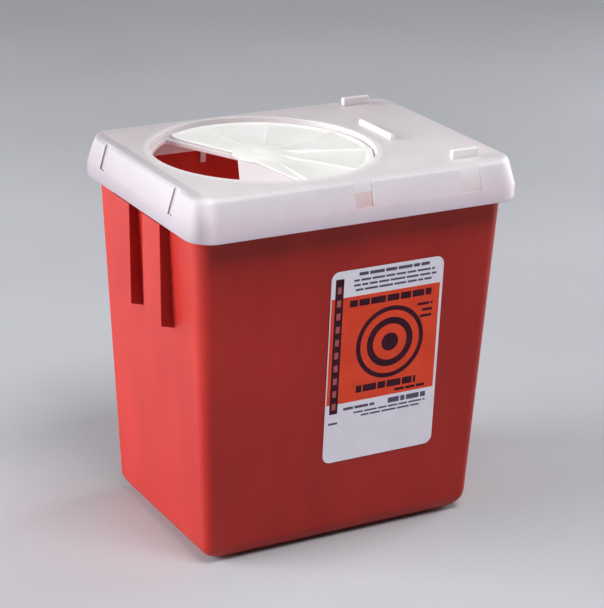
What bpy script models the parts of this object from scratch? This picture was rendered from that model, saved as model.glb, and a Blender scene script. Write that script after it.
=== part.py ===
"""Counter-top sharps container: a tapered tub, a push-on lid, a rotor that closes its drop opening, and a label.

The frame: +Z up, the origin on the table under the middle of the tub, the long front face looking along -Y.
"""

from math import atan2, cos, pi, radians, sin, sqrt, tan

import bmesh
import bpy
from mathutils import Vector

MM = 0.001

# Tub: half sizes at the table and their growth per unit of height.
TUB_HALF = (69.06 * MM, 48.1 * MM)
TUB_TAPER = (0.0545, 0.0403)
TUB_CORNER = 4.5 * MM
TUB_CORNER_TAPER = 0.022
TUB_HEIGHT = 167.2 * MM
WALL = 2.0 * MM
FOOT_RADIUS = 9.5 * MM
FOOT_WIDTH = 14.5 * MM
FOOT_ROUNDING = 0.4  # growth of the plan's corner radius per unit of inset, outside of the foot
FOOT_RECESS = 1.0 * MM
FLOOR = 3.2 * MM
RIM_HALF = (79.7 * MM, 58.9 * MM)
RIM_CORNER = 9.0 * MM
RIM_UNDERSIDE = 164.7 * MM
EDGE = 0.4 * MM

# Bracket blocks on the short sides, cored from below. Their underside slopes down to the wall.
BLOCK_INNER, BLOCK_OUTER = 7.0 * MM, 25.0 * MM
BLOCK_BOTTOM, BLOCK_LIP, BLOCK_TOP = 108.5 * MM, 110.3 * MM, 157.6 * MM
BLOCK_FACE_BOTTOM, BLOCK_FACE_TOP = 81.1 * MM, 82.05 * MM
BLOCK_WALL = 2.0 * MM
CORE_GAP = 0.3 * MM

# Lid: skirt, slanted band and plate.
SKIRT_HALF = (82.5 * MM, 61.8 * MM)
SKIRT_CORNER = 12.0 * MM
SKIRT_BOTTOM = 158.2 * MM
BAND_BOTTOM = 164.7 * MM
PLATE_HALF = (78.8 * MM, 57.8 * MM)
PLATE_CORNER = 10.0 * MM
PLATE_TOP = 177.7 * MM
PLATE_ROUND = 4.0 * MM
LID_WALL = 1.6 * MM
INNER_CHAMFER = 2.0 * MM
PLUG_HALF = (75.4 * MM, 52.3 * MM)
PLUG_CORNER = 6.0 * MM
PLUG_WALL = 1.4 * MM
PLUG_BOTTOM = 163.9 * MM

# What stands on the lid or hangs from it.
TAB_X, TAB_WIDTH, TAB_BOTTOM = -23.7 * MM, 2.6 * MM, 157.8 * MM
LUG_X = (50.3 * MM, 64.2 * MM)
LUG_Y = (47.8 * MM, 50.4 * MM)
LUG_TOP = 181.5 * MM
BAR_X, BAR_Y = 41.5 * MM, (-12.5 * MM, 16.5 * MM)
BAR_RADIUS, BAR_HEIGHT = 1.1 * MM, 2.8 * MM
SEAT_RIB_BOTTOM, SEAT_RIB_HALF = 167.6 * MM, 0.6 * MM
SEAT_RIB_X = (-48.0 * MM, 9.0 * MM, 40.0 * MM)
SEAT_RIB_Y = (-24.0 * MM, 24.0 * MM)
HOOK_BOTTOM, HOOK_TOP, HOOK_HALF = 160.6 * MM, 164.1 * MM, 8.0 * MM
HOOK_X = (-42.0 * MM, 32.0 * MM)
HOOK_CLEARANCE = 0.35 * MM
RECESS_BOTTOM = 165.2 * MM
RECESS_X = (-0.9 * MM, 54.0 * MM)

# Rotor well in the lid and its drop opening.
AXIS = Vector((-19.0 * MM, 0.0, 0.0))
CREST_INNER, CREST_OUTER, CREST_FOOT = 50.8 * MM, 53.0 * MM, 56.0 * MM
CREST_TOP = 178.1 * MM
CREST_CHAMFER = 1.2 * MM
WELL_RADIUS = 52.4 * MM
WELL_FLOOR = 174.4 * MM
WELL_FLOOR_WALL = 1.8 * MM
OPENING_RADIUS = 49.9 * MM
OPENING_ANGLE = radians(115.5)
OPENING_OFFSETS = (9.0 * MM, 11.3 * MM)
HUB_HOLE = 4.3 * MM

# Rotor.
ROTOR_RADIUS = 50.0 * MM
ROTOR_BOTTOM = 174.7 * MM
ROTOR_PLATE_TOP = 175.7 * MM
ROTOR_RIM_TOP = 176.1 * MM
ROTOR_RIM_WIDTH = 2.2 * MM
ROTOR_EDGE_ANGLES = (radians(114.4), radians(-82.8))
ROTOR_EDGE_OFFSETS = (7.0 * MM, 10.0 * MM)
ROTOR_CORNERS = (3.0 * MM, 3.0 * MM)
HUB_RADIUS, HUB_TOP = 14.0 * MM, 176.7 * MM
HUB_CAP_RADIUS, HUB_CAP_TOP = 6.0 * MM, 177.3 * MM
RIDGE_ANGLES = [radians(-58 + 39 * k) for k in range(5)]
RIDGE_WIDTH, RIDGE_TOP = 1.6 * MM, 176.5 * MM
POST_RADIUS, POST_BOTTOM = 4.0 * MM, 170.6 * MM
COLLAR_RADIUS, COLLAR_TOP = 5.0 * MM, 172.3 * MM
SLIT = 1.4 * MM

# Label on the front face: x and height of its corners.
LABEL_X = (-12.0 * MM, 46.2 * MM)
LABEL_Z = (40.4 * MM, 134.2 * MM)
LABEL_CORNER = 4.0 * MM
LABEL_GAP, LABEL_THICKNESS = 0.2 * MM, 0.25 * MM

CORNER_STEPS = 10
ROUND_STEPS = 120
BURIED = 0.9 * MM  # how far a joined feature reaches into the wall it grows from
FAR = 20.0 * MM  # how far a cutter runs past the face it cuts


def clear_scene():
    for old in list(bpy.data.objects):
        bpy.data.objects.remove(old, do_unlink=True)


def material(name, colour, roughness):
    made = bpy.data.materials.new(name)
    made.use_nodes = True
    shader = made.node_tree.nodes["Principled BSDF"]
    shader.inputs["Base Color"].default_value = (*colour, 1.0)
    shader.inputs["Roughness"].default_value = roughness
    shader.inputs["Metallic"].default_value = 0.0
    return made


def make_object(name, mesh_builder, look=None):
    """A new object from a bmesh, its faces pointing out and its round parts shaded smooth."""
    bmesh.ops.recalc_face_normals(mesh_builder, faces=mesh_builder.faces)
    if mesh_builder.calc_volume(signed=True) < 0:
        bmesh.ops.reverse_faces(mesh_builder, faces=mesh_builder.faces)
    mesh = bpy.data.meshes.new(name)
    mesh_builder.to_mesh(mesh)
    mesh_builder.free()
    mesh.shade_smooth()
    mesh.set_sharp_from_angle(angle=radians(35))
    made = bpy.data.objects.new(name, mesh)
    bpy.context.scene.collection.objects.link(made)
    if look:
        mesh.materials.append(look)
    return made


def rounded_ring(half_x, half_y, corner, z):
    """Points of a rounded rectangle at height z, counter-clockwise from above."""
    points = []
    for quarter, (sx, sy) in enumerate(((1, 1), (-1, 1), (-1, -1), (1, -1))):
        centre = Vector((sx * (half_x - corner), sy * (half_y - corner), z))
        for step in range(CORNER_STEPS + 1):
            turn = (quarter + step / CORNER_STEPS) * pi / 2
            points.append(centre + corner * Vector((cos(turn), sin(turn), 0)))
    return points


def loft(name, rings, look):
    """One closed body through rings of equal length, capped at both ends."""
    builder = bmesh.new()
    loops = [[builder.verts.new(p) for p in ring] for ring in rings]
    for lower, upper in zip(loops, loops[1:]):
        count = len(lower)
        for i in range(count):
            j = (i + 1) % count
            builder.faces.new((lower[i], lower[j], upper[j], upper[i]))
    builder.faces.new(loops[0])
    builder.faces.new(loops[-1])
    return make_object(name, builder, look)


def add_prism(builder, base, shift):
    """Adds the solid swept by the outline base as it moves by shift."""
    low = [builder.verts.new(p) for p in base]
    high = [builder.verts.new(p + shift) for p in base]
    count = len(base)
    for i in range(count):
        j = (i + 1) % count
        builder.faces.new((low[i], low[j], high[j], high[i]))
    builder.faces.new(low)
    builder.faces.new(high)


def add_box(builder, low, high):
    base = [
        Vector((low[0], low[1], low[2])),
        Vector((high[0], low[1], low[2])),
        Vector((high[0], high[1], low[2])),
        Vector((low[0], high[1], low[2])),
    ]
    add_prism(builder, base, Vector((0, 0, high[2] - low[2])))


def arc(radius, start, end, steps, centre=Vector((0, 0, 0))):
    """Points from angle start to angle end about centre, both ends included."""
    turns = [start + (end - start) * k / steps for k in range(steps + 1)]
    return [centre + radius * Vector((cos(turn), sin(turn), 0)) for turn in turns]


def disc_outline(radius, steps=ROUND_STEPS):
    return arc(radius, 0, 2 * pi, steps)[:-1]


def on_axis(outline, z):
    """The outline, drawn about the rotor's axis, at height z."""
    return [AXIS + p + Vector((0, 0, z)) for p in outline]


def turned_prism(name, outline, low, high):
    """An upright prism about the rotor's axis."""
    builder = bmesh.new()
    add_prism(builder, on_axis(outline, low), Vector((0, 0, high - low)))
    return make_object(name, builder)


def combine(target, tool, operation):
    """Adds tool to target or cuts it away, and keeps tool as a hidden helper."""
    step = target.modifiers.new(tool.name, "BOOLEAN")
    step.object = tool
    step.operation = operation
    step.solver = "EXACT"
    tool.hide_render = True
    tool.display_type = "WIRE"


def tub_half(z):
    return [TUB_HALF[k] + TUB_TAPER[k] * z for k in (0, 1)]


def tub_ring(z, inset, height=None, rounding=-1.0):
    """A ring of the tub's wall: the outline at height z, moved in by inset, drawn at height."""
    half_x, half_y = tub_half(z)
    corner = TUB_CORNER + TUB_CORNER_TAPER * z
    corner = max(corner + rounding * inset, 1.5 * MM)
    return rounded_ring(half_x - inset, half_y - inset, corner, z if height is None else height)


def tub_body(look):
    rim_x, rim_y = RIM_HALF
    rings = [tub_ring(0, FOOT_WIDTH + FOOT_RECESS, FOOT_RECESS), tub_ring(0, FOOT_WIDTH)]
    for step in range(7):
        turn = step / 6 * pi / 2
        inset = FOOT_RADIUS * (1 - sin(turn))
        rings.append(tub_ring(FOOT_RADIUS * (1 - cos(turn)), inset, rounding=FOOT_ROUNDING))
    rings.append(tub_ring(RIM_UNDERSIDE, 0))
    rings.append(rounded_ring(rim_x - EDGE, rim_y - EDGE, RIM_CORNER - EDGE, RIM_UNDERSIDE))
    rings.append(rounded_ring(rim_x, rim_y, RIM_CORNER, RIM_UNDERSIDE + EDGE))
    rings.append(rounded_ring(rim_x, rim_y, RIM_CORNER, TUB_HEIGHT - EDGE))
    rings.append(rounded_ring(rim_x - EDGE, rim_y - EDGE, RIM_CORNER - EDGE, TUB_HEIGHT))
    rings.append(tub_ring(TUB_HEIGHT, WALL - EDGE))
    rings.append(tub_ring(TUB_HEIGHT - EDGE, WALL))
    for step in range(4):
        turn = step / 3 * pi / 2
        height = FLOOR + FOOT_RADIUS * (1 - sin(turn))
        rings.append(tub_ring(height, WALL + FOOT_RADIUS * (1 - cos(turn))))
    return loft("tub", rings, look)


def block_section(side, wall_offset, face_inset, low, high):
    """The side view of a bracket block, from the tub's wall out to its nearly upright face."""

    def face(z):
        share = (z - BLOCK_BOTTOM) / (BLOCK_TOP - BLOCK_BOTTOM)
        return BLOCK_FACE_BOTTOM + share * (BLOCK_FACE_TOP - BLOCK_FACE_BOTTOM) - face_inset

    lip = low + BLOCK_LIP - BLOCK_BOTTOM
    return [
        Vector((side * (tub_half(low)[0] + wall_offset), 0, low)),
        Vector((side * face(lip), 0, lip)),
        Vector((side * face(high), 0, high)),
        Vector((side * (tub_half(high)[0] + wall_offset), 0, high)),
    ]


def add_blocks(tub):
    solids, cores = bmesh.new(), bmesh.new()
    for side in (-1, 1):
        for row in (-1, 1):
            start, end = sorted((row * BLOCK_INNER, row * BLOCK_OUTER))
            solid = block_section(side, -BURIED, 0, BLOCK_BOTTOM, BLOCK_TOP)
            core_top = BLOCK_TOP - BLOCK_WALL
            core = block_section(side, CORE_GAP, BLOCK_WALL, BLOCK_BOTTOM - FAR, core_top)
            move, width = Vector((0, start, 0)), Vector((0, end - start, 0))
            add_prism(solids, [p + move for p in solid], width)
            move.y += BLOCK_WALL
            width.y -= 2 * BLOCK_WALL
            add_prism(cores, [p + move for p in core], width)
    combine(tub, make_object("block_solids", solids), "UNION")
    combine(tub, make_object("block_cores", cores), "DIFFERENCE")


def band_half(z, inset=0.0):
    """Half sizes of the lid's slanted band at height z, moved in by inset."""
    share = (z - BAND_BOTTOM) / (PLATE_TOP - BAND_BOTTOM)
    return [s + share * (p - s) - inset for s, p in zip(SKIRT_HALF, PLATE_HALF)]


def band_ring(z, inset=0.0):
    share = (z - BAND_BOTTOM) / (PLATE_TOP - BAND_BOTTOM)
    corner = SKIRT_CORNER + share * (PLATE_CORNER - SKIRT_CORNER) - inset
    return rounded_ring(*band_half(z, inset), corner, z)


def plate_edge_rings(radius, steps=4):
    """Rings of the rounded edge between the plate and the slanted band, from the plate down."""
    lean = [atan2(s - p, PLATE_TOP - BAND_BOTTOM) for s, p in zip(SKIRT_HALF, PLATE_HALF)]
    rings = []
    for step in range(steps + 1):
        sizes = []
        for half, angle in zip(PLATE_HALF, lean):
            turn = step / steps * (pi / 2 - angle)
            run = radius * tan((pi / 2 - angle) / 2)
            sizes.append(half - run + radius * sin(turn))
        drop = radius * (1 - cos(turn))
        corner = PLATE_CORNER - radius + radius * sin(turn)
        rings.append(rounded_ring(*sizes, corner, PLATE_TOP - drop))
    return rings


def lid_body(look):
    skirt_x, skirt_y = SKIRT_HALF
    plug_x, plug_y = PLUG_HALF
    under = PLATE_TOP - LID_WALL
    inner = [SKIRT_HALF[k] - LID_WALL for k in (0, 1)]
    rings = plate_edge_rings(PLATE_ROUND)
    rings.append(rounded_ring(skirt_x, skirt_y, SKIRT_CORNER, BAND_BOTTOM))
    rings.append(rounded_ring(skirt_x, skirt_y, SKIRT_CORNER, SKIRT_BOTTOM + EDGE))
    rings.append(rounded_ring(skirt_x - EDGE, skirt_y - EDGE, SKIRT_CORNER - EDGE, SKIRT_BOTTOM))
    rings.append(rounded_ring(*inner, SKIRT_CORNER - LID_WALL, SKIRT_BOTTOM))
    rings.append(rounded_ring(*inner, SKIRT_CORNER - LID_WALL, BAND_BOTTOM))
    rings.append(band_ring(under - INNER_CHAMFER, LID_WALL))
    sunk = [half - INNER_CHAMFER for half in band_half(under, LID_WALL)]
    rings.append(rounded_ring(*sunk, PLATE_CORNER - LID_WALL - INNER_CHAMFER, under))
    rings.append(rounded_ring(plug_x, plug_y, PLUG_CORNER, under))
    rings.append(rounded_ring(plug_x, plug_y, PLUG_CORNER, PLUG_BOTTOM))
    thin = PLUG_CORNER - PLUG_WALL
    rings.append(rounded_ring(plug_x - PLUG_WALL, plug_y - PLUG_WALL, thin, PLUG_BOTTOM))
    rings.append(rounded_ring(plug_x - PLUG_WALL, plug_y - PLUG_WALL, thin, under))
    return loft("lid", rings, look)


def crossing(normals, offsets):
    """Where two lines cross, each given by its normal and its distance from the axis."""
    (a, b), (first, second) = normals, offsets
    area = a.x * b.y - a.y * b.x
    return Vector((first * b.y - second * a.y, second * a.x - first * b.x, 0)) / area


def opening_outline():
    """The drop opening: two edges that meet short of the axis, and an arc round the outside."""
    turn = OPENING_ANGLE
    normals = Vector((-sin(turn), cos(turn), 0)), Vector((-sin(turn), -cos(turn), 0))
    ends = [turn + atan2(off, sqrt(OPENING_RADIUS**2 - off**2)) for off in OPENING_OFFSETS]
    apex = crossing(normals, OPENING_OFFSETS)
    return [apex] + arc(OPENING_RADIUS, ends[0], 2 * pi - ends[1], 40)


def gusset(reach_inner, axis, z_low, z_high):
    """Side view of a rib between plug and skirt; axis 0 is for the short sides, 1 for the long ones."""
    inside = reach_inner - PLUG_WALL / 2
    low = band_half(z_low, LID_WALL / 2)[axis]
    high = band_half(z_high, LID_WALL / 2)[axis]
    return [(inside, z_low), (low, z_low), (high, z_high), (inside, z_high)]


def add_lid_ribs(lid):
    """Seating ribs over the rim, snap hooks under it, the tab, the lugs and the parking bar."""
    builder = bmesh.new()
    seat_top = PLATE_TOP - LID_WALL / 2
    for side in (-1, 1):
        for x in SEAT_RIB_X:
            section = gusset(PLUG_HALF[1], 1, SEAT_RIB_BOTTOM, seat_top)
            base = [Vector((x - SEAT_RIB_HALF, side * out, z)) for out, z in section]
            add_prism(builder, base, Vector((2 * SEAT_RIB_HALF, 0, 0)))
        for y in SEAT_RIB_Y:
            section = gusset(PLUG_HALF[0], 0, SEAT_RIB_BOTTOM, seat_top)
            base = [Vector((side * out, y - SEAT_RIB_HALF, z)) for out, z in section]
            add_prism(builder, base, Vector((0, 2 * SEAT_RIB_HALF, 0)))
        for x in HOOK_X:
            section = hook_section(1)
            base = [Vector((x - HOOK_HALF, side * out, z)) for out, z in section]
            add_prism(builder, base, Vector((2 * HOOK_HALF, 0, 0)))
        base = [Vector((side * out, -HOOK_HALF, z)) for out, z in hook_section(0)]
        add_prism(builder, base, Vector((0, 2 * HOOK_HALF, 0)))
        low, high = sorted((side * LUG_Y[0], side * LUG_Y[1]))
        add_box(builder, (LUG_X[0], low, PLATE_TOP - BURIED), (LUG_X[1], high, LUG_TOP))
    skin = 0.1 * MM
    add_box(
        builder,
        (TAB_X - TAB_WIDTH / 2, PLUG_HALF[1] - PLUG_WALL + skin, TAB_BOTTOM),
        (TAB_X + TAB_WIDTH / 2, PLUG_HALF[1] - skin, PLUG_BOTTOM + BURIED),
    )
    start, end = BAR_Y
    middle = Vector((BAR_X, start, PLATE_TOP + BAR_HEIGHT - BAR_RADIUS))
    profile = [middle + Vector((p.x, 0, p.y)) for p in arc(BAR_RADIUS, 0, pi, 6)]
    for out in (-BAR_RADIUS, BAR_RADIUS):
        profile.append(Vector((BAR_X + out, start, PLATE_TOP - BURIED)))
    add_prism(builder, profile, Vector((0, end - start, 0)))
    combine(lid, make_object("lid_ribs", builder), "UNION")


def hook_section(axis):
    """Side view of a snap hook: a wedge on the inside of the skirt whose tip stops short of the rim."""
    root = SKIRT_HALF[axis] - BURIED
    tip = RIM_HALF[axis] + HOOK_CLEARANCE
    return [(root, HOOK_BOTTOM), (root, HOOK_TOP), (tip, HOOK_TOP)]


def recess(builder, axis, side, along, width, low, depth):
    """Adds the cutter of a shallow recess that runs up the slanted band from height low."""
    top = PLATE_TOP + FAR
    section = [
        (band_half(low, depth)[axis], low),
        (band_half(low, -FAR)[axis], low),
        (band_half(top, -FAR)[axis], top),
        (band_half(top, depth)[axis], top),
    ]
    if axis == 1:
        base = [Vector((along - width / 2, side * out, z)) for out, z in section]
        add_prism(builder, base, Vector((width, 0, 0)))
    else:
        base = [Vector((side * out, along - width / 2, z)) for out, z in section]
        add_prism(builder, base, Vector((0, width, 0)))


def turned_body(name, profile):
    """A round body about the rotor's axis through the (radius, height) pairs of profile."""
    return loft(name, [on_axis(disc_outline(radius), z) for radius, z in profile], None)


def cut_lid(lid):
    wide = CREST_INNER + CREST_CHAMFER / 2
    profile = [
        (CREST_INNER, WELL_FLOOR),
        (CREST_INNER, CREST_TOP - CREST_CHAMFER),
        (wide, CREST_TOP + EDGE / 2),
        (wide, CREST_TOP + FAR),
    ]
    combine(lid, turned_body("well", profile), "DIFFERENCE")
    low, high = WELL_FLOOR - FAR, WELL_FLOOR + FAR
    builder = bmesh.new()
    lift = Vector((0, 0, high - low))
    add_prism(builder, on_axis(opening_outline(), low), lift)
    add_prism(builder, on_axis(disc_outline(HUB_HOLE, 32), low), lift)
    combine(lid, make_object("drop_opening", builder), "DIFFERENCE")
    builder = bmesh.new()
    for side in (-1, 1):
        recess(builder, 1, side, RECESS_X[0], 8.5 * MM, RECESS_BOTTOM, 0.7 * MM)
        recess(builder, 1, side, RECESS_X[1], 10.5 * MM, RECESS_BOTTOM, 0.4 * MM)
        for along in (-36 * MM, 36 * MM):
            recess(builder, 0, side, along, 5.0 * MM, RECESS_BOTTOM, 0.8 * MM)
    combine(lid, make_object("skirt_recesses", builder), "DIFFERENCE")


def build_lid(look):
    lid = lid_body(look)
    inside = PLATE_TOP - LID_WALL / 2
    profile = [
        (WELL_RADIUS, WELL_FLOOR - WELL_FLOOR_WALL),
        (WELL_RADIUS, inside),
        (CREST_FOOT, inside),
        (CREST_FOOT, PLATE_TOP - 0.3 * MM),
        (CREST_OUTER, CREST_TOP),
    ]
    combine(lid, turned_body("pan", profile), "UNION")
    add_lid_ribs(lid)
    cut_lid(lid)
    return lid


def rotor_corner(angle, outward, offset, radius):
    """The fillet between the rotor's rim and one straight edge: (its centre, angle on the rim)."""
    along = Vector((cos(angle), sin(angle), 0))
    inset = offset - radius
    centre = outward * inset + along * sqrt((ROTOR_RADIUS - radius) ** 2 - inset**2)
    return centre, atan2(centre.y, centre.x)


def rotor_outline():
    """Rim arc, rounded corner, straight edge to near the hub, straight edge out, rounded corner."""
    first, second = ROTOR_EDGE_ANGLES
    out_first = Vector((-sin(first), cos(first), 0))
    out_second = Vector((sin(second), -cos(second), 0))
    centre_1, rim_1 = rotor_corner(first, out_first, ROTOR_EDGE_OFFSETS[0], ROTOR_CORNERS[0])
    centre_2, rim_2 = rotor_corner(second, out_second, ROTOR_EDGE_OFFSETS[1], ROTOR_CORNERS[1])
    points = arc(ROTOR_RADIUS, rim_2, rim_1, 60)
    face_1 = atan2(out_first.y, out_first.x) + 2 * pi
    points += arc(ROTOR_CORNERS[0], rim_1, face_1, 8, centre_1)[1:]
    points.append(crossing((out_first, out_second), ROTOR_EDGE_OFFSETS))
    face_2 = atan2(out_second.y, out_second.x)
    points += arc(ROTOR_CORNERS[1], face_2, rim_2, 6, centre_2)[:-1]
    return points


def build_rotor(look):
    builder = bmesh.new()
    thickness = ROTOR_PLATE_TOP - ROTOR_BOTTOM
    add_prism(builder, on_axis(rotor_outline(), ROTOR_BOTTOM), Vector((0, 0, thickness)))
    rotor = make_object("rotor", builder, look)
    inside = 0.4 * MM
    start, end = radians(-87.6), radians(115)
    outer = arc(ROTOR_RADIUS - 0.1 * MM, start, end, 56)
    inner = arc(ROTOR_RADIUS - ROTOR_RIM_WIDTH, end, start, 56)
    rim = turned_prism("rotor_rim", outer + inner, ROTOR_PLATE_TOP - inside, ROTOR_RIM_TOP)
    combine(rotor, rim, "UNION")
    ridges = bmesh.new()
    for angle in RIDGE_ANGLES:
        along, across = Vector((cos(angle), sin(angle), 0)), Vector((-sin(angle), cos(angle), 0))
        near, far = HUB_RADIUS - 1.5 * MM, ROTOR_RADIUS - ROTOR_RIM_WIDTH / 2
        half = across * RIDGE_WIDTH / 2
        outline = [along * near - half, along * far - half, along * far + half, along * near + half]
        low = ROTOR_PLATE_TOP - inside
        add_prism(ridges, on_axis(outline, low), Vector((0, 0, RIDGE_TOP - low)))
    combine(rotor, make_object("rotor_ridges", ridges), "UNION")
    steps = [
        ("hub", HUB_RADIUS, ROTOR_BOTTOM + inside, HUB_TOP),
        ("hub_cap", HUB_CAP_RADIUS, ROTOR_PLATE_TOP, HUB_CAP_TOP),
        ("post", POST_RADIUS, POST_BOTTOM, ROTOR_BOTTOM + inside / 2),
        ("collar", COLLAR_RADIUS, POST_BOTTOM + inside, COLLAR_TOP),
    ]
    for name, radius, low, high in steps:
        combine(rotor, turned_prism(name, disc_outline(radius, 48), low, high), "UNION")
    slit = bmesh.new()
    add_box(
        slit,
        (AXIS.x - 2 * COLLAR_RADIUS, -SLIT / 2, POST_BOTTOM - FAR),
        (AXIS.x + 2 * COLLAR_RADIUS, SLIT / 2, ROTOR_BOTTOM - inside),
    )
    combine(rotor, make_object("post_slit", slit), "DIFFERENCE")
    return rotor


def build_label(look):
    """A thin sheet with round corners, parallel to the tub's leaning front face."""
    slope = TUB_TAPER[1]
    outward = Vector((0, -1, -slope)).normalized()
    up = Vector((0, -slope, 1))
    middle = Vector((sum(LABEL_X) / 2, 0, sum(LABEL_Z) / 2))
    half_x = (LABEL_X[1] - LABEL_X[0]) / 2
    half_z = (LABEL_Z[1] - LABEL_Z[0]) / 2
    outline = []
    for p in rounded_ring(half_x, half_z, LABEL_CORNER, 0):
        on_face = Vector((middle.x + p.x, -TUB_HALF[1], 0)) + up * (middle.z + p.y)
        outline.append(on_face + outward * LABEL_GAP)
    builder = bmesh.new()
    add_prism(builder, outline, outward * LABEL_THICKNESS)
    return make_object("label_front", builder, look)


def put_origin_on_axis(rotor):
    """Moves the rotor's origin to its turning axis without moving its surface."""
    for vertex in rotor.data.vertices:
        vertex.co -= AXIS
    rotor.location = AXIS


def build():
    clear_scene()
    red = material("red_polypropylene", (0.62, 0.045, 0.035), 0.45)
    natural = material("natural_polypropylene", (0.82, 0.80, 0.81), 0.4)
    white = material("white_polypropylene", (0.88, 0.87, 0.84), 0.4)
    paper = material("label_stock", (0.85, 0.84, 0.86), 0.5)
    tub = tub_body(red)
    add_blocks(tub)
    build_lid(natural)
    put_origin_on_axis(build_rotor(white))
    build_label(paper)


build()
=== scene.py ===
"""The looks of a counter-top sharps container.

Moulded plastic and a printed label, on a pale floor in soft studio light.
"""

from math import asin, atan2, cos, degrees, pi, radians, sin, sqrt

import bmesh
import bpy
from mathutils import Matrix, Vector


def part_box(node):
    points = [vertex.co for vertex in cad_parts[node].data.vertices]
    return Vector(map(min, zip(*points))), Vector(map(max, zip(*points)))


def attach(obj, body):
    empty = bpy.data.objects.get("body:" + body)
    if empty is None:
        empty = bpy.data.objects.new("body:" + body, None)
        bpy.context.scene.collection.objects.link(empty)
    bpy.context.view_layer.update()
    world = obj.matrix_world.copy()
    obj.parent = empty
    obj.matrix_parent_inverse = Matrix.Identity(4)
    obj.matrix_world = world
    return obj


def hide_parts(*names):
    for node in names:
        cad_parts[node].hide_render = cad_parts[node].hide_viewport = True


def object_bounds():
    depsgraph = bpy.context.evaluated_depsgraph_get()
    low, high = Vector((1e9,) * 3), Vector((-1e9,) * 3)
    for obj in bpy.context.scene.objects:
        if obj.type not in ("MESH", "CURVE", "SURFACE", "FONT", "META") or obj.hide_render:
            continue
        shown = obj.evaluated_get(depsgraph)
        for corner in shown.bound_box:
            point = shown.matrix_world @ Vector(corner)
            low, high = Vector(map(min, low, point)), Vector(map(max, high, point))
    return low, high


MM = 0.001

# Camera: the turn about Z, the tilt down and the roll, then how far the lens stands from the origin
# along its own axes, a lift on top of that, and the focal length.
CAMERA_YAW = radians(-29.135)
CAMERA_PITCH = radians(20.461)
CAMERA_ROLL = radians(1.485)
CAMERA_DISTANCE = 1023.5 * MM
CAMERA_ACROSS, CAMERA_UP = 5.184 * MM, 89.42 * MM
CAMERA_LIFT = Vector((0, 0, 4.2 * MM))
CAMERA_LENS = 125.3

# Rotor: a pleated fan with a raised rim, thin ridges and a stepped hub, in millimetres and degrees
# about its axis. A ridge stands by its share of the full height over the panels beside it.
ROTOR_RADIUS, ROTOR_RIM_WIDTH = 50.0, 2.2
ROTOR_BOTTOM, PANEL_LOW, PANEL_HIGH, RIM_TOP, RIDGE_TOP = 174.7, 175.4, 175.95, 176.1, 176.5
HUB_RADIUS, HUB_TOP, CAP_RADIUS, CAP_TOP = 14.0, 176.7, 6.0, 177.3
EDGE_ANGLES, EDGE_OFFSETS, EDGE_CORNERS = (114.4, -82.8), (7.0, 10.0), (3.0, 3.0)
RIDGES = {-58: 0.6, -19: 1.0, 20: 0.45, 59: 0.15, 98: 0.12}
RIDGE_SECTOR, RIDGE_START = 40, 8
DEEP_FOLD, SHALLOW_FOLD, FOLD_CHANGE, FOLD_FULL = 1.0, 0.35, 30, 32
POST_RADIUS, POST_BOTTOM, COLLAR_RADIUS, COLLAR_TOP = 4.0, 170.6, 5.0, 172.3

# The rotor's mesh before its outline is cut: rings by radius, close together where the height
# changes fast, with a point every 0.75 degrees.
ROTOR_RINGS = [0.5, 2, 4, 5.3, 5.55, 5.8, 6.05, 6.5, 9, 12, 12.9, 13.3, 13.7, 14, 14.5, 16]
ROTOR_RINGS += [18 + 2 * k for k in range(15)]
ROTOR_RINGS += [46.8, 47.2, 47.6, 48, 48.6, 49.2, 49.55, 49.8, 50.3]
ROTOR_SPOKES = 480
ROTOR_SHARP = 38

# Label: how far the face leans back per unit of height, how deep the print's prisms reach into the
# sheet and how far each layer of ink stands in front of it, in millimetres.
LABEL_SLOPE = 0.0403
PRINT_DEPTH = 0.08
PANEL_LIFT, TEXT_LIFT, EMBLEM_LIFT, MARK_LIFT = 0.04, 0.05, 0.06, 0.08
EMBLEM_CENTRE = (20, 96.2)

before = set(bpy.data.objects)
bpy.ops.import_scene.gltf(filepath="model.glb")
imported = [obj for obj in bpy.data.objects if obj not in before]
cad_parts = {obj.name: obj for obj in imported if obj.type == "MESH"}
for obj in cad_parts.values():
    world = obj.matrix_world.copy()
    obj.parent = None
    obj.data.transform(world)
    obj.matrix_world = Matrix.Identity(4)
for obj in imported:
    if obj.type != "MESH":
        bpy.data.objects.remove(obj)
cad_low, cad_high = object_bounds()
hinge = Vector((-19 * MM, 0, 0))


# ---------------------------------------------------------------- meshes


def link(name, data):
    made = bpy.data.objects.new(name, data)
    bpy.context.scene.collection.objects.link(made)
    return made


def add_object(name, builder, angle=35):
    """Turns a finished mesh builder into an object, smooth but for edges sharper than angle."""
    bmesh.ops.recalc_face_normals(builder, faces=builder.faces)
    mesh = bpy.data.meshes.new(name)
    builder.to_mesh(mesh)
    builder.free()
    mesh.shade_smooth()
    mesh.set_sharp_from_angle(angle=radians(angle))
    return link(name, mesh)


def refined_copy(node, name, width):
    """The node's solid with its sharp edges rounded, as a new piece that stands for the node."""
    builder = bmesh.new()
    builder.from_mesh(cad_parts[node].data)
    bmesh.ops.remove_doubles(builder, verts=builder.verts, dist=1e-6)
    bmesh.ops.dissolve_limit(
        builder, angle_limit=radians(0.6), verts=builder.verts, edges=builder.edges
    )
    made = add_object(name, builder, 180)
    step = made.modifiers.new("rounding", "BEVEL")
    step.width = width
    step.segments = 2
    step.limit_method = "ANGLE"
    step.angle_limit = radians(32)
    step.use_clamp_overlap = True
    step = made.modifiers.new("shading", "WEIGHTED_NORMAL")
    step.keep_sharp = True
    step.weight = 80
    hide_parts(node)
    return made


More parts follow.
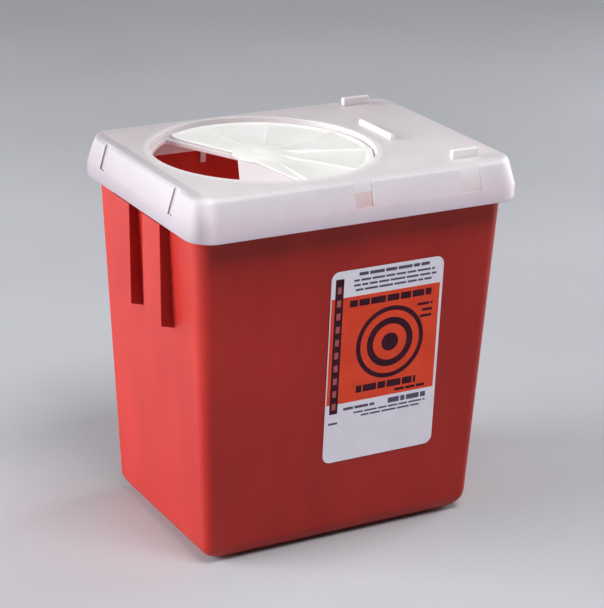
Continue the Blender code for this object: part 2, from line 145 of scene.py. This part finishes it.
def add_prism(builder, base, shift):
    """A closed prism from a ring of points and its copy, moved by shift."""
    low = [builder.verts.new(p) for p in base]
    high = [builder.verts.new(p + shift) for p in base]
    count = len(base)
    for i in range(count):
        j = (i + 1) % count
        builder.faces.new((low[i], low[j], high[j], high[i]))
    builder.faces.new(low[::-1])
    builder.faces.new(high)


def join_rings(builder, rings):
    """Closes a body through rings of points, capped at both ends."""
    loops = [[builder.verts.new(p) for p in ring] for ring in rings]
    for lower, upper in zip(loops, loops[1:]):
        for i in range(len(lower)):
            j = (i + 1) % len(lower)
            builder.faces.new((lower[i], lower[j], upper[j], upper[i]))
    builder.faces.new(loops[0])
    builder.faces.new(loops[-1])


def arc(radius, start, end, steps, centre=(0, 0)):
    """Points of a circle's arc, both ends included, angles in degrees."""
    turns = [radians(start + (end - start) * k / steps) for k in range(steps + 1)]
    return [(centre[0] + radius * cos(t), centre[1] + radius * sin(t)) for t in turns]


def circle(radius, steps, centre=(0, 0)):
    return arc(radius, 0, 360, steps, centre)[:-1]


def on_axis(x, y, z):
    """A point given in millimetres about the rotor's axis."""
    return hinge + Vector((x, y, z)) * MM


# ---------------------------------------------------------------- rotor


def ease(value, start, end):
    """0 before start, 1 after end, smooth between."""
    share = min(max((value - start) / (end - start), 0), 1)
    return share * share * (3 - 2 * share)


def fan_height(radius, angle):
    """Height of the rotor's upper side at a distance and an angle from its axis."""
    # Panels lie between neighbouring ridges, and the outer two run a little past the fan's edges.
    borders = [EDGE_ANGLES[1] - 10, *RIDGES, EDGE_ANGLES[0] + 12]
    inside = [(a, b) for a, b in zip(borders, borders[1:]) if a <= angle <= b]
    share = (angle - inside[0][0]) / (inside[0][1] - inside[0][0]) if inside else 0.5
    fold = DEEP_FOLD if angle < FOLD_CHANGE else SHALLOW_FOLD
    reach = ease(radius, HUB_RADIUS, FOLD_FULL) * fold
    height = PANEL_LOW + (PANEL_HIGH - PANEL_LOW) * (1 - sin(pi * share)) * reach
    for ridge, strength in RIDGES.items():
        if abs(angle - ridge) < RIDGE_SECTOR and radius > RIDGE_START:
            aside = abs(sin(radians(angle - ridge))) * radius
            crest = 1 - ease(aside, 0.1, 0.7 + 0.022 * radius)
            height = max(height, height + (RIDGE_TOP - height) * crest * strength)
    rim_start = ROTOR_RADIUS - ROTOR_RIM_WIDTH
    rim = ease(radius, rim_start - 1.2, rim_start + 0.4)
    height += max(RIM_TOP - height, 0) * rim
    height -= 0.4 * ease(radius, ROTOR_RADIUS - 0.6, ROTOR_RADIUS)
    hub = 1 - ease(radius, CAP_RADIUS + 1, HUB_RADIUS + 3)
    height += (HUB_TOP - height) * hub
    cap = 1 - ease(radius, 2.2, CAP_RADIUS)
    return height + (CAP_TOP - height) * cap


def fan_outline():
    """Rim, rounded corner, straight edge in, round the hub, straight edge out, rounded corner."""
    first, second = EDGE_ANGLES
    corners = []
    for angle, side, offset, corner in zip(EDGE_ANGLES, (1, -1), EDGE_OFFSETS, EDGE_CORNERS):
        turn = radians(angle)
        inset = offset - corner
        along = sqrt((ROTOR_RADIUS - corner) ** 2 - inset**2)
        centre = (
            along * cos(turn) - side * inset * sin(turn),
            along * sin(turn) + side * inset * cos(turn),
        )
        corners.append((centre, degrees(atan2(centre[1], centre[0])), angle + side * 90))
    points = arc(ROTOR_RADIUS, corners[1][1], corners[0][1], 90)
    points += arc(EDGE_CORNERS[0], corners[0][1], corners[0][2], 10, corners[0][0])[1:]
    bends = [degrees(asin(offset / HUB_RADIUS)) for offset in EDGE_OFFSETS]
    points += arc(HUB_RADIUS, first + bends[0], second - bends[1] + 360, 40)
    points += arc(EDGE_CORNERS[1], corners[1][2], corners[1][1], 8, corners[1][0])[:-1]
    return points


def build_disc():
    """The whole disc: a height field on top, flat below."""
    builder = bmesh.new()
    rings = []
    for radius in ROTOR_RINGS:
        ring = []
        for k in range(ROTOR_SPOKES):
            angle = k * 360 / ROTOR_SPOKES
            # Angles jump back by a turn in the gap between the fan's edges.
            signed = angle if angle < 195 else angle - 360
            x, y = radius * cos(radians(angle)), radius * sin(radians(angle))
            ring.append(on_axis(x, y, fan_height(min(radius, ROTOR_RADIUS), signed)))
        rings.append(ring)
    rings.append([on_axis(x, y, ROTOR_BOTTOM) for x, y in circle(ROTOR_RINGS[-1], ROTOR_SPOKES)])
    join_rings(builder, rings)
    return add_object("rotor_fan", builder, ROTOR_SHARP)


def build_outline():
    """The upright prism that the disc is cut to."""
    builder = bmesh.new()
    base = [on_axis(x, y, ROTOR_BOTTOM - 1) for x, y in fan_outline()]
    add_prism(builder, base, Vector((0, 0, 5 * MM)))
    return add_object("rotor_cutter", builder)


def build_post():
    """The post under the hub, with the collar that snaps below the lid's floor."""
    builder = bmesh.new()
    profile = [
        (POST_RADIUS, ROTOR_BOTTOM + 0.2),
        (POST_RADIUS, COLLAR_TOP),
        (COLLAR_RADIUS - 0.2, COLLAR_TOP),
        (COLLAR_RADIUS, COLLAR_TOP - 0.2),
        (COLLAR_RADIUS, POST_BOTTOM + 0.8),
        (POST_RADIUS, POST_BOTTOM),
    ]
    join_rings(builder, [[on_axis(x, y, z) for x, y in circle(r, 48)] for r, z in profile])
    return add_object("rotor_post", builder)


def build_rotor():
    fan = build_disc()
    tools = ((build_outline(), "INTERSECT"), (build_post(), "UNION"))
    for tool, operation in tools:
        step = fan.modifiers.new(tool.name, "BOOLEAN")
        step.object = tool
        step.operation = operation
        step.solver = "EXACT"
    bpy.context.view_layer.update()
    shaped = fan.evaluated_get(bpy.context.evaluated_depsgraph_get())
    solid = bpy.data.meshes.new_from_object(shaped)
    fan.modifiers.clear()
    fan.data = solid
    solid.set_sharp_from_angle(angle=radians(ROTOR_SHARP))
    for tool, _ in tools:
        bpy.data.objects.remove(tool, do_unlink=True)
    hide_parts("rotor")
    return fan


# ---------------------------------------------------------------- label


label_low, label_high = [Vector(corner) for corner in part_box("label_front")]


def on_label(x, z, lift):
    """A point over the label's outer side: x and height in millimetres, lift in front of it."""
    y = label_low.y + LABEL_SLOPE * (label_high.z - z * MM)
    return Vector((x * MM, y, z * MM)) + lift * Vector((0, -1, -LABEL_SLOPE)).normalized() * MM


def add_print(builder, outline, lift):
    """A patch of ink as a thin prism, its back inside the sheet and its front at lift."""
    base = [on_label(x, z, -PRINT_DEPTH) for x, z in outline]
    add_prism(builder, base, on_label(0, 0, lift) - on_label(0, 0, -PRINT_DEPTH))


def oblong(x0, z0, x1, z1):
    return [(x0, z0), (x1, z0), (x1, z1), (x0, z1)]


def add_hoop(builder, centre, outer, inner, lift):
    """A printed ring, as two closed halves."""
    for turn in (0, 180):
        outline = arc(outer, turn, turn + 180, 32, centre)
        outline += arc(inner, turn + 180, turn, 32, centre)
        add_print(builder, outline, lift)


def add_line_of_words(builder, x0, x1, z, height, lift, seed):
    """Plain blocks in a row, as long and as far apart as words."""
    x = x0
    step = seed
    while x < x1:
        step = (step * 37 + 11) % 101
        run = 2.2 + 5.5 * step / 101
        end = min(x + run, x1)
        if end - x > 0.8:
            add_print(builder, oblong(x, z, end, z + height), lift)
        x = end + 0.75


def dress_label(inks):
    """The print: a plain panel, a bar with even marks, rings, and blocks where words would be."""
    panel = bmesh.new()
    add_print(panel, oblong(-11.5, 69.6, 44.8, 121.4), PANEL_LIFT)
    pieces = [("label_panel", panel, inks["orange"])]
    dark = bmesh.new()
    add_print(dark, oblong(-9.8, 64.9, -5.6, 130.6), EMBLEM_LIFT)
    pieces.append(("label_scale", dark, inks["dark"]))
    ticks = bmesh.new()
    for k in range(10):
        add_print(ticks, oblong(-8.7, 67.0 + 6.3 * k, -6.7, 70.2 + 6.3 * k), MARK_LIFT)
    pieces.append(("label_scale_marks", ticks, inks["mark"]))
    emblem = bmesh.new()
    add_hoop(emblem, EMBLEM_CENTRE, 17.6, 15.4, EMBLEM_LIFT)
    add_hoop(emblem, EMBLEM_CENTRE, 12.0, 8.8, EMBLEM_LIFT)
    add_print(emblem, circle(4.4, 36, EMBLEM_CENTRE), EMBLEM_LIFT)
    add_line_of_words(emblem, -2.0, 40.5, 116.3, 3.2, EMBLEM_LIFT, 17)
    for z, x in ((111.6, 33.5), (108.6, 36.0), (105.6, 35.0)):
        add_line_of_words(emblem, x, 41.5, z, 1.3, EMBLEM_LIFT, 29)
    add_line_of_words(emblem, 3.5, 35.0, 73.6, 3.4, EMBLEM_LIFT, 41)
    add_line_of_words(emblem, 24.0, 40.0, 71.0, 1.3, EMBLEM_LIFT, 53)
    pieces.append(("label_emblem", emblem, inks["dark"]))
    text = bmesh.new()
    add_line_of_words(text, 2.0, 38.5, 131.0, 1.5, TEXT_LIFT, 61)
    for k, (x0, x1) in enumerate(((-0.5, 41.5), (-0.5, 42.5), (0.5, 40.0))):
        add_line_of_words(text, x0, x1, 128.4 - 2.3 * k, 0.95, TEXT_LIFT, 71 + 3 * k)
    add_line_of_words(text, 21.0, 41.0, 65.4, 2.5, TEXT_LIFT, 7)
    add_line_of_words(text, -2.5, 14.0, 65.8, 1.3, TEXT_LIFT, 23)
    for k, (x0, x1) in enumerate(((3.0, 41.0), (7.0, 38.0))):
        add_line_of_words(text, x0, x1, 63.4 - 1.9 * k, 0.8, TEXT_LIFT, 12 + 5 * k)
    add_line_of_words(text, -10.0, -4.5, 59.6, 1.0, TEXT_LIFT, 91)
    pieces.append(("label_text", text, inks["grey"]))
    for name, builder, ink in pieces:
        dress(add_object(name, builder), ink, "tub")


# ---------------------------------------------------------------- materials


def surface(name, tints, grain, rough, bump, settings, stretch=(1, 1, 1)):
    """A plastic or paper: two close tints in a slow noise, a fine relief and an uneven gloss."""
    made = bpy.data.materials.new(name)
    made.use_nodes = True
    nodes, links = made.node_tree.nodes, made.node_tree.links
    shader = nodes["Principled BSDF"]
    place = nodes.new("ShaderNodeTexCoord")
    spread = nodes.new("ShaderNodeMapping")
    spread.inputs["Scale"].default_value = stretch
    links.new(place.outputs["Object"], spread.inputs["Vector"])
    slow = nodes.new("ShaderNodeTexNoise")
    slow.inputs["Scale"].default_value = grain
    slow.inputs["Detail"].default_value = 6
    links.new(spread.outputs["Vector"], slow.inputs["Vector"])
    blend = nodes.new("ShaderNodeValToRGB")
    blend.color_ramp.elements[0].position = 0.36
    blend.color_ramp.elements[1].position = 0.64
    for element, tint in zip(blend.color_ramp.elements, tints):
        element.color = (*tint, 1)
    links.new(slow.outputs["Fac"], blend.inputs["Fac"])
    links.new(blend.outputs["Color"], shader.inputs["Base Color"])
    gloss = nodes.new("ShaderNodeMapRange")
    gloss.inputs["To Min"].default_value = rough[0]
    gloss.inputs["To Max"].default_value = rough[1]
    links.new(slow.outputs["Fac"], gloss.inputs["Value"])
    links.new(gloss.outputs["Result"], shader.inputs["Roughness"])
    fine = nodes.new("ShaderNodeTexNoise")
    fine.inputs["Scale"].default_value = 1400
    fine.inputs["Detail"].default_value = 3
    links.new(place.outputs["Object"], fine.inputs["Vector"])
    relief = nodes.new("ShaderNodeBump")
    relief.inputs["Strength"].default_value = bump
    relief.inputs["Distance"].default_value = 0.1 * MM
    links.new(fine.outputs["Fac"], relief.inputs["Height"])
    links.new(relief.outputs["Normal"], shader.inputs["Normal"])
    for socket, value in settings.items():
        shader.inputs[socket].default_value = value
    return made


def add_node(nodes, kind, **settings):
    made = nodes.new(kind)
    for name, value in settings.items():
        setattr(made, name, value)
    return made


def feed(links, source, socket):
    """Sets a socket to a value, or links it to another node's output."""
    if isinstance(source, bpy.types.NodeSocket):
        links.new(source, socket)
    else:
        socket.default_value = source


def add_axes(made):
    """The object's coordinates, one output each for X, Y and Z."""
    nodes, links = made.node_tree.nodes, made.node_tree.links
    place = nodes.new("ShaderNodeTexCoord")
    axes = nodes.new("ShaderNodeSeparateXYZ")
    links.new(place.outputs["Object"], axes.inputs["Vector"])
    return axes.outputs


def multiply_colour(made, factor, tint):
    """Multiplies the base colour by tint; factor and tint are a value or another node's output."""
    nodes, links = made.node_tree.nodes, made.node_tree.links
    colour = nodes["Principled BSDF"].inputs["Base Color"]
    blend = add_node(nodes, "ShaderNodeMix", data_type="RGBA", blend_type="MULTIPLY")
    links.new(colour.links[0].from_socket, blend.inputs["A"])
    feed(links, factor, blend.inputs["Factor"])
    feed(links, tint, blend.inputs["B"])
    links.new(blend.outputs["Result"], colour)


def shade_along(made, axis, low, high, stops):
    """Paints light and shade into the base colour: multiplies it by a ramp along one axis, between
    low and high.
    """
    nodes, links = made.node_tree.nodes, made.node_tree.links
    share = nodes.new("ShaderNodeMapRange")
    share.inputs["From Min"].default_value = low
    share.inputs["From Max"].default_value = high
    links.new(add_axes(made)[axis], share.inputs["Value"])
    ramp = nodes.new("ShaderNodeValToRGB")
    while len(ramp.color_ramp.elements) < len(stops):
        ramp.color_ramp.elements.new(0.5)
    for element, (position, tint) in zip(ramp.color_ramp.elements, stops):
        element.position = position
        element.color = (*tint, 1)
    links.new(share.outputs["Result"], ramp.inputs["Fac"])
    multiply_colour(made, 1, ramp.outputs["Color"])


def paint_recess_shade(made, places, height, half_height, reach, tint):
    """Paints a pink shade, as of the red tub glowing through, inside the recesses of the long
    sides: multiplies the base colour by tint there.
    """
    nodes, links = made.node_tree.nodes, made.node_tree.links
    axes = add_axes(made)

    def math(operation, *sources):
        step = add_node(nodes, "ShaderNodeMath", operation=operation)
        for socket, source in zip(step.inputs, sources):
            feed(links, source, socket)
        return step.outputs["Value"]

    across = 0.0
    for centre, half, share in places:
        inside = math("COMPARE", axes["X"], centre, half)
        across = math("ADD", math("MULTIPLY", inside, share), across)
    upright = math("COMPARE", axes["Z"], height, half_height)
    outside = math("GREATER_THAN", math("ABSOLUTE", axes["Y"]), reach)
    mask = math("MULTIPLY", math("MULTIPLY", across, upright), outside)
    multiply_colour(made, mask, (*tint, 1))


def dress(piece, look, body):
    """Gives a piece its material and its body."""
    piece.data.materials.clear()
    piece.data.materials.append(look)
    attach(piece, body)


# ---------------------------------------------------------------- stage, light and camera


def add_floor():
    """A plain pale floor, a hair below the feet."""
    builder = bmesh.new()
    height = cad_low[2] - 0.05 * MM
    builder.faces.new([builder.verts.new((x, y, height)) for x, y in oblong(-6, -6, 6, 6)])
    floor = add_object("floor", builder)
    tints = ((0.43, 0.44, 0.47), (0.47, 0.48, 0.51))
    floor.data.materials.append(surface("pale_floor", tints, 3, (0.6, 0.75), 0.05, {}))


def add_softbox(name, place, target, size, power):
    data = bpy.data.lights.new(name, "AREA")
    data.shape = "RECTANGLE"
    data.size, data.size_y = size
    data.energy = power
    made = link(name, data)
    made.location = place
    made.rotation_euler = (Vector(target) - Vector(place)).to_track_quat("-Z", "Y").to_euler()


def add_light():
    """Soft boxes around the container, a dim sky, and a glow inside the tub."""
    world = bpy.data.worlds.new("studio")
    bpy.context.scene.world = world
    world.use_nodes = True
    sky = world.node_tree.nodes["Background"]
    sky.inputs["Color"].default_value = (0.90, 0.92, 1.0, 1)
    sky.inputs["Strength"].default_value = 0.12
    middle = (0, 0, 0.1)
    add_softbox("key", (-1.35, 0.35, 0.42), middle, (0.9, 0.9), 34)
    add_softbox("top", (0.1, -0.75, 1.5), middle, (0.9, 0.6), 19)
    add_softbox("edge", (1.45, 0.15, 0.45), middle, (0.6, 0.9), 15)
    add_softbox("sheen", (-0.8, 1.4, 0.25), middle, (1.0, 0.5), 8)
    data = bpy.data.lights.new("inside_glow", "POINT")
    data.energy = 0.15
    data.color = (1.0, 0.85, 0.8)
    data.shadow_soft_size = 30 * MM
    glow = link("inside_glow", data)
    glow.location = (-0.02, -0.005, 0.085)
    glow.visible_camera = False


def add_camera():
    yaw, pitch = CAMERA_YAW, CAMERA_PITCH
    back = Vector((sin(yaw) * cos(pitch), -cos(yaw) * cos(pitch), sin(pitch)))
    right = Vector((cos(yaw), sin(yaw), 0))
    up = back.cross(right)
    turned_right = cos(CAMERA_ROLL) * right + sin(CAMERA_ROLL) * up
    turned_up = cos(CAMERA_ROLL) * up - sin(CAMERA_ROLL) * right
    data = bpy.data.cameras.new("camera")
    data.lens = CAMERA_LENS
    camera = link("camera", data)
    turn = Matrix((turned_right, turned_up, back)).transposed().to_4x4()
    place = CAMERA_ACROSS * turned_right + CAMERA_UP * turned_up
    place = place + CAMERA_DISTANCE * back + CAMERA_LIFT
    camera.matrix_world = Matrix.Translation(place) @ turn
    bpy.context.scene.camera = camera


add_camera()
add_floor()
add_light()
bpy.context.scene.view_settings.view_transform = "Standard"

red = surface(
    "tub_red",
    ((0.40, 0.016, 0.011), (0.46, 0.022, 0.015)),
    45,
    (0.36, 0.48),
    0.12,
    {
        "Specular IOR Level": 0.25,
        "Subsurface Weight": 0.25,
        "Subsurface Scale": 3 * MM,
        "Subsurface Radius": (1.0, 0.2, 0.15),
        "Transmission Weight": 0.12,
    },
    (1, 1, 0.3),
)
natural = surface(
    "lid_natural",
    ((0.90, 0.88, 0.89), (0.94, 0.92, 0.93)),
    60,
    (0.42, 0.55),
    0.1,
    {
        "Transmission Weight": 0.1,
        "Subsurface Weight": 0.5,
        "Subsurface Scale": 2.5 * MM,
        "Subsurface Radius": (1.0, 0.85, 0.82),
    },
)

# Light and shade are painted into the lid's tint: by height, painted shade at the skirt's lower
# edge and on the flat top and painted glow on the upper skirt, where it is lit through over the
# tub, and on the rounded edge; painted shade on the short side facing the key light and towards the
# back; and a pinker painted shade in its recesses.
# Painted glow and shade by height: a darker lilac lower skirt, a bright upper band and rounded
# edge, a darker flat top.
painted_light_by_height = [
    (0.0, (0.80, 0.70, 0.78)),
    (0.1, (0.87, 0.77, 0.84)),
    (0.29, (0.93, 0.81, 0.86)),
    (0.5, (0.98, 0.89, 0.92)),
    (0.75, (0.98, 0.94, 0.96)),
    (0.81, (0.77, 0.74, 0.75)),
    (0.822, (0.78, 0.75, 0.76)),
    (0.833, (0.87, 0.84, 0.85)),
    (0.86, (0.98, 0.97, 0.97)),
]
# Painted shade on the short side that faces the key light, holding back its glare.
painted_shade_short_side = [(0.0, (0.45, 0.455, 0.47)), (0.5, (0.48, 0.485, 0.50)), (1.0, (1, 1, 1))]
# Painted shade that darkens the lid towards the back.
painted_shade_towards_back = [(0.0, (1, 1, 1)), (1.0, (0.76, 0.74, 0.75))]
shade_along(natural, "Z", 158 * MM, 182 * MM, painted_light_by_height)
shade_along(natural, "X", -83 * MM, -74 * MM, painted_shade_short_side)
shade_along(natural, "Y", -40 * MM, 60 * MM, painted_shade_towards_back)
# Painted pink shade in the long sides' recesses, where the red tub glows through the thin lid.
recesses = [(-0.9 * MM, 4.3 * MM, 1.0), (54 * MM, 5.3 * MM, 0.3)]
paint_recess_shade(natural, recesses, 168.2 * MM, 3.3 * MM, 56 * MM, (0.97, 0.82, 0.80))

white = surface(
    "rotor_white",
    ((0.83, 0.82, 0.78), (0.87, 0.86, 0.83)),
    70,
    (0.32, 0.42),
    0.08,
    {
        "Subsurface Weight": 0.3,
        "Subsurface Scale": 3 * MM,
        "Subsurface Radius": (1.0, 0.95, 0.9),
    },
)
paper = surface(
    "label_paper", ((0.80, 0.76, 0.85), (0.84, 0.81, 0.89)), 90, (0.4, 0.5), 0.05, {}
)
ink_looks = (
    ("orange", ((0.74, 0.05, 0.012), (0.82, 0.065, 0.018)), 80, (0.42, 0.5), 0.3),
    ("dark", ((0.035, 0.004, 0.014), (0.055, 0.008, 0.02)), 120, (0.5, 0.6), 0.15),
    ("mark", ((0.40, 0.07, 0.08), (0.46, 0.09, 0.09)), 120, (0.4, 0.5), 0.5),
    ("grey", ((0.09, 0.07, 0.13), (0.12, 0.10, 0.17)), 120, (0.4, 0.5), 0.2),
)
inks = {}
for name, tints, grain, rough, shine in ink_looks:
    inks[name] = surface(
        "ink_" + name, tints, grain, rough, 0.05, {"Specular IOR Level": shine}
    )

dress(refined_copy("tub", "tub_shell", 0.5 * MM), red, "tub")
dress(refined_copy("lid", "lid_shell", 0.5 * MM), natural, "lid")
dress(build_rotor(), white, "rotor")
dress(refined_copy("label_front", "label_sheet", 0.05 * MM), paper, "tub")
dress_label(inks)

bpy.context.view_layer.update()
